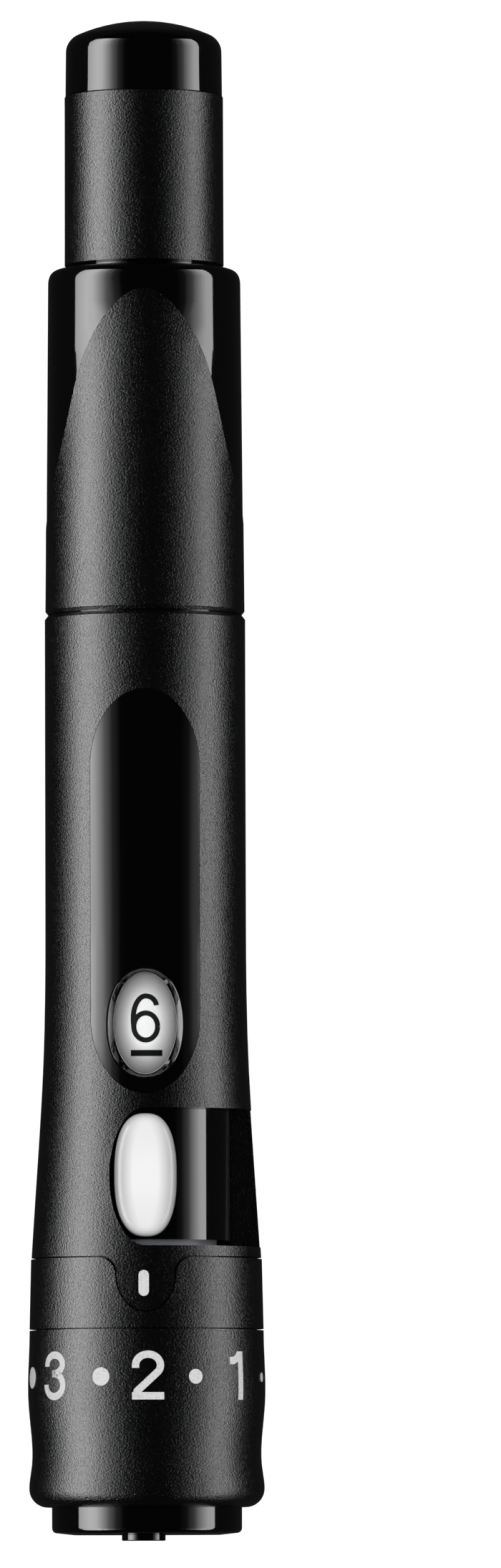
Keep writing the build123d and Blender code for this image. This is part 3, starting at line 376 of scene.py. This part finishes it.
slot_materials = {
    "black_gloss": black_gloss,
    "black_matte": black_matte,
    "lever_white": lever_white,
    "counter_white": counter_white,
    "lens_clear": lens_clear,
    "drum_grey": drum_grey,
    "drum_white": drum_white,
    "lancet_plastic": lancet_plastic,
    "inner_plastic": inner_plastic,
    "bearing_plastic": bearing_plastic,
    "steel": needle_steel,
    "spring_steel": spring_steel,
}
for entry in frame["record"]["subparts"]:
    for slot in nodes[entry["node"]].material_slots:
        slot.material = slot_materials[entry["material_slot"]]


# Printed marks: flat strokes laid on a round surface
class Surface:
    """The outer surface of a CAD node, found by looking in toward the pen's axis."""

    def __init__(self, node):
        mesh = nodes[node].data
        corners = [vertex.co for vertex in mesh.vertices]
        self.tree = BVHTree.FromPolygons(corners, [face.vertices for face in mesh.polygons])

    def radius(self, azimuth, station):
        """Distance of the surface from the axis at an azimuth and a station."""
        way = outward(azimuth)
        start = way * probe_radius + Vector((0, station, 0))
        return hypot(*self.tree.ray_cast(start, -way)[0].xz)


class Marks:
    """Collects printed shapes for one mesh."""

    def __init__(self, surface):
        self.surface = surface
        self.points = []
        self.faces = []

    def place(self, azimuth, station, across, along, height):
        """A point of a mark: its middle, its offsets and its height over the surface."""
        spot = station + along
        middle = self.surface.radius(azimuth, spot)
        turn = azimuth + across / middle
        reach = self.surface.radius(turn, spot) + height
        self.points.append((reach * sin(turn), spot, reach * cos(turn)))
        return len(self.points) - 1

    def ribbon(self, azimuth, station, path, width):
        """A stroke of constant width along a path of (across, along) points."""
        path = resample(path)
        rows = []
        for index, (x, y) in enumerate(path):
            ahead = path[min(index + 1, len(path) - 1)]
            behind = path[max(index - 1, 0)]
            run = Vector((ahead[0] - behind[0], ahead[1] - behind[1])).normalized()
            side = Vector((-run.y, run.x)) * width / 2
            row = []
            for height in (print_lift, -print_depth):
                for share in (-1.0, 0.0, 1.0):
                    row.append(self.place(
                        azimuth, station, x + side.x * share, y + side.y * share, height,
                    ))
            rows.append(row)
        loop = (0, 1, 2, 5, 4, 3)
        for first, second in zip(rows, rows[1:]):
            for here, after in zip(loop, loop[1:] + loop[:1]):
                self.faces.append((first[here], first[after], second[after], second[here]))
        self.faces.append([rows[0][spot] for spot in reversed(loop)])
        self.faces.append([rows[-1][spot] for spot in loop])

    def disc(self, azimuth, station, radius, stretch=0.0, rings=4, sides=40):
        """A round dot, or a bar with round ends where it is stretched."""
        top = self.place(azimuth, station, 0, 0, print_lift)
        under = self.place(azimuth, station, 0, 0, -print_depth)
        grid = []
        for ring in range(1, rings + 1):
            reach = radius * ring / rings
            row = []
            for side in range(sides):
                turn = 2 * pi * (side + 0.5) / sides
                along = reach * sin(turn) + (stretch if sin(turn) > 0 else -stretch)
                row.append((reach * cos(turn), along))
            grid.append(row)
        tops = [[self.place(azimuth, station, *spot, print_lift) for spot in row] for row in grid]
        skirt = [self.place(azimuth, station, *spot, -print_depth) for spot in grid[-1]]
        for side in range(sides):
            after = (side + 1) % sides
            self.faces.append((top, tops[0][side], tops[0][after]))
            for inner, outer in zip(tops, tops[1:]):
                self.faces.append((inner[side], outer[side], outer[after], inner[after]))
            self.faces.append((tops[-1][side], skirt[side], skirt[after], tops[-1][after]))
            self.faces.append((under, skirt[after], skirt[side]))

    def finish(self, name, body, material):
        """Make the mesh with its material and let it ride on a body."""
        mesh = bpy.data.meshes.new(name)
        mesh.from_pydata(self.points, [], self.faces)
        mesh.validate()
        mesh.materials.append(material)
        piece = new_object(name, mesh)
        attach(piece, body)


def resample(path):
    """Points along a path, close enough to bend round the surface."""
    dense = [path[0]]
    for start, end in zip(path, path[1:]):
        length = hypot(end[0] - start[0], end[1] - start[1])
        pieces = max(1, ceil(length / print_step))
        for piece in range(1, pieces + 1):
            share = piece / pieces
            dense.append((
                start[0] + (end[0] - start[0]) * share, start[1] + (end[1] - start[1]) * share,
            ))
    return dense


def arc(center, radii, first, last, points=28):
    """Points on part of an oval, between two angles in degrees."""
    turns = [radians(first + (last - first) * index / points) for index in range(points + 1)]
    return [(center[0] + radii[0] * cos(turn), center[1] + radii[1] * sin(turn)) for turn in turns]


# Digits as strokes in a box one high, from foot to top, with its middle across at zero
digit_strokes = {
    1: [
        [(0.10, 0.0), (0.10, 0.99)],
        [(-0.22, 0.80), (-0.12, 0.80), (-0.02, 0.84), (0.07, 0.95)],
    ],
    2: [
        [(-0.255, 0.645), (-0.255, 0.70)] + arc((0, 0.70), (0.255, 0.225), 176, -32)
        + [(-0.225, 0.17), (-0.245, 0.075)],
        [(-0.33, 0.075), (0.33, 0.075)],
    ],
    3: [
        [(-0.245, 0.69), (-0.245, 0.715)] + arc((0, 0.735), (0.245, 0.19), 175, -90)
        + [(-0.07, 0.545)],
        [(-0.07, 0.545)] + arc((0, 0.31), (0.265, 0.235), 90, -176) + [(-0.265, 0.32)],
    ],
    4: [
        [(0.12, 0.0), (0.12, 1.0)],
        [(0.12, 0.93), (-0.26, 0.30)],
        [(-0.33, 0.26), (0.33, 0.26)],
    ],
    5: [
        [(0.27, 0.925), (-0.20, 0.925)],
        [(-0.19, 0.97), (-0.235, 0.48)],
        [(-0.225, 0.52)] + arc((0.0, 0.33), (0.255, 0.26), 130, -168),
    ],
    6: [
        arc((0.01, 0.327), (0.24, 0.275), 0, 360, 44),
        [(-0.23, 0.327), (-0.24, 0.42)] + arc((0.01, 0.50), (0.25, 0.448), 180, 92, 24)
        + arc((0.01, 0.74), (0.215, 0.208), 88, 5),
    ],
}


def write_digit(marks, digit, azimuth, station, height, stroke):
    """Lay one digit on the surface, with its middle at an azimuth and a station."""
    for strokes in digit_strokes[digit]:
        path = [(x * height, (y - 0.5) * height) for x, y in strokes]
        marks.ribbon(azimuth, station, path, stroke)


# Numbers and dots round the dial: a number at each whole step of depth, and dots between them
dial_marks = Marks(Surface("depth_dial"))
for halves in range(min(dot_radii), max(dot_radii) + 1):
    even_bearing = 360 * (front_halves - halves) / dial_positions
    bearing = radians(dial_bearings.get(halves, even_bearing))
    if halves % 2:
        dial_marks.disc(bearing, dot_station, dot_radii[halves] * MM)
    else:
        write_digit(dial_marks, halves // 2, bearing, dial_station, dial_height, dial_stroke)
dial_marks.finish("dial_print", "dial", white_ink)

# Index mark on the front tongue
index_marks = Marks(Surface("main_body"))
index_marks.disc(
    radians(mark_bearing), mark_station, mark_width / 2, stretch=(mark_length - mark_width) / 2,
)
index_marks.finish("index_mark", "body", white_ink)

# Count of lancets left on the white ring behind the window
counter_marks = Marks(Surface("counter_ring"))
for index in range(lancet_count):
    bearing = -index * 2 * pi / lancet_count
    digit = lancet_count - index
    write_digit(counter_marks, digit, bearing, counter_station, counter_height, counter_stroke)
    if digit == lancet_count:
        counter_marks.ribbon(
            bearing, bar_station,
            [(bar_offset - bar_length / 2, 0), (bar_offset + bar_length / 2, 0)], bar_width,
        )
counter_marks.finish("counter_print", "magazine", black_ink)

# Floor: white to the camera, and dark to reflections
slope = (dial_contact[1] - shell_contact[1]) / (shell_contact[0] - dial_contact[0])
floor_mesh = bpy.data.meshes.new("floor")
half = floor_size / 2
floor_mesh.from_pydata(
    [(-half, -half, 0), (half, -half, 0), (half, half, 0), (-half, half, 0)], [], [(0, 1, 2, 3)],
)
floor = new_object("floor", floor_mesh)
floor.rotation_euler.x = atan(slope)
floor.location.z = -dial_contact[1] - dial_contact[0] * slope
floor_material, tree, output = new_material("floor_white")
path = tree.nodes.new("ShaderNodeLightPath")
seen = tree.nodes.new("ShaderNodeAddShader")
glow = tree.nodes.new("ShaderNodeEmission")
glow.inputs["Strength"].default_value = floor_glow
pale = tree.nodes.new("ShaderNodeBsdfDiffuse")
pale.inputs["Color"].default_value = (floor_grey, floor_grey, floor_grey, 1)
dark = tree.nodes.new("ShaderNodeBsdfDiffuse")
dark.inputs["Color"].default_value = (floor_dark, floor_dark, floor_dark, 1)
tree.links.new(glow.outputs["Emission"], seen.inputs[0])
tree.links.new(pale.outputs["BSDF"], seen.inputs[1])
surface = mix_shaders(
    tree, path.outputs["Is Camera Ray"], dark.outputs["BSDF"], seen.outputs["Shader"],
)
tree.links.new(surface, output.inputs["Surface"])
floor_mesh.materials.append(floor_material)

# Room: white to the camera, near black to reflections, and an even light to the rest
world = bpy.data.worlds.new("room")
bpy.context.scene.world = world
world.use_nodes = True
tree = world.node_tree
tree.nodes.clear()
path = tree.nodes.new("ShaderNodeLightPath")
output = tree.nodes.new("ShaderNodeOutputWorld")
backgrounds = {}
for kind, level in (("lit", room_level), ("mirrored", mirror_level), ("seen", 1.0)):
    background = tree.nodes.new("ShaderNodeBackground")
    background.inputs["Color"].default_value = (1, 1, 1, 1)
    background.inputs["Strength"].default_value = level
    backgrounds[kind] = background.outputs["Background"]
unseen = mix_shaders(
    tree, path.outputs["Is Glossy Ray"], backgrounds["lit"], backgrounds["mirrored"],
)
surface = mix_shaders(tree, path.outputs["Is Camera Ray"], unseen, backgrounds["seen"])
tree.links.new(surface, output.inputs["Surface"])


def softbox(name, profile):
    """A tall softbox that only reflections show, with its light fading across it."""
    ends = [outward(radians(profile[end][0])) * box_distance for end in (0, -1)]
    middle = (ends[0] + ends[1]) / 2 + Vector((0, aim_station, 0))
    run = ends[1] - ends[0]
    data = bpy.data.lights.new(name, "AREA")
    data.shape = "RECTANGLE"
    data.size = run.length
    data.size_y = box_length
    data.energy = pi * run.length * box_length
    across = run.normalized()
    along = Vector((0, 1, 0))
    back = across.cross(along)
    if back.dot(middle) < 0:
        along = -along
        back = -back
    lamp = new_object(name, data)
    facing = Matrix((across, along, back)).transposed()
    lamp.matrix_world = Matrix.Translation(middle) @ facing.to_4x4()
    data.use_nodes = True
    tree = data.node_tree
    tree.nodes.clear()
    output = tree.nodes.new("ShaderNodeOutputLight")
    emission = tree.nodes.new("ShaderNodeEmission")
    place = tree.nodes.new("ShaderNodeNewGeometry")
    split = tree.nodes.new("ShaderNodeSeparateXYZ")
    ramp = tree.nodes.new("ShaderNodeValToRGB")
    peak = max(level for _, level in profile)
    stops = ramp.color_ramp.elements
    while len(stops) < len(profile):
        stops.new(0.5)
    spans = []
    for bearing, level in profile:
        ray = outward(radians(bearing))
        hit = ray * (ends[0].dot(back) / ray.dot(back))
        spans.append(((hit - ends[0]).dot(across) / run.length, level / peak))
    for stop, (share, level) in zip(stops, spans):
        stop.position = share
        stop.color = (level, level, level, 1)
    strength = tree.nodes.new("ShaderNodeMath")
    strength.operation = "MULTIPLY"
    strength.inputs[1].default_value = peak
    tree.links.new(place.outputs["Parametric"], split.inputs["Vector"])
    tree.links.new(split.outputs["X"], ramp.inputs["Fac"])
    tree.links.new(ramp.outputs["Color"], strength.inputs[0])
    tree.links.new(strength.outputs["Value"], emission.inputs["Strength"])
    tree.links.new(emission.outputs["Emission"], output.inputs["Surface"])
    lamp.visible_camera = False
    lamp.visible_diffuse = False


softbox("softbox_left", left_profile)
softbox("softbox_right", right_profile)

for bearing, level in fill_levels.items():
    fill_data = bpy.data.lights.new("fill", "AREA")
    fill_data.shape = "SQUARE"
    fill_data.size = fill_size
    fill_data.energy = pi ** 2 * fill_distance ** 2 * level
    fill = new_object("fill", fill_data)
    turn = radians(bearing)
    fill.location = outward(turn) * fill_distance + Vector((0, aim_station, 0))
    fill.rotation_euler.y = turn
    fill.visible_camera = False
    fill.visible_glossy = False
    fill.visible_transmission = False

# Camera
camera_data = bpy.data.cameras.new("camera")
camera_data.lens = camera_lens
camera_data.sensor_width = camera_sensor
camera_data.clip_start, camera_data.clip_end = camera_reach
camera = new_object("camera", camera_data)
eye = Vector((camera_side, horizon_station, camera_height))
aim = Vector((camera_side, aim_station, 0))
facing = (aim - eye).to_track_quat("-Z", "Y").to_matrix()
roll = Matrix.Rotation(radians(camera_roll), 3, "Z")
camera.matrix_world = Matrix.Translation(eye) @ (facing @ roll).to_4x4()
bpy.context.scene.camera = camera

bpy.context.scene.view_settings.view_transform = "Standard"
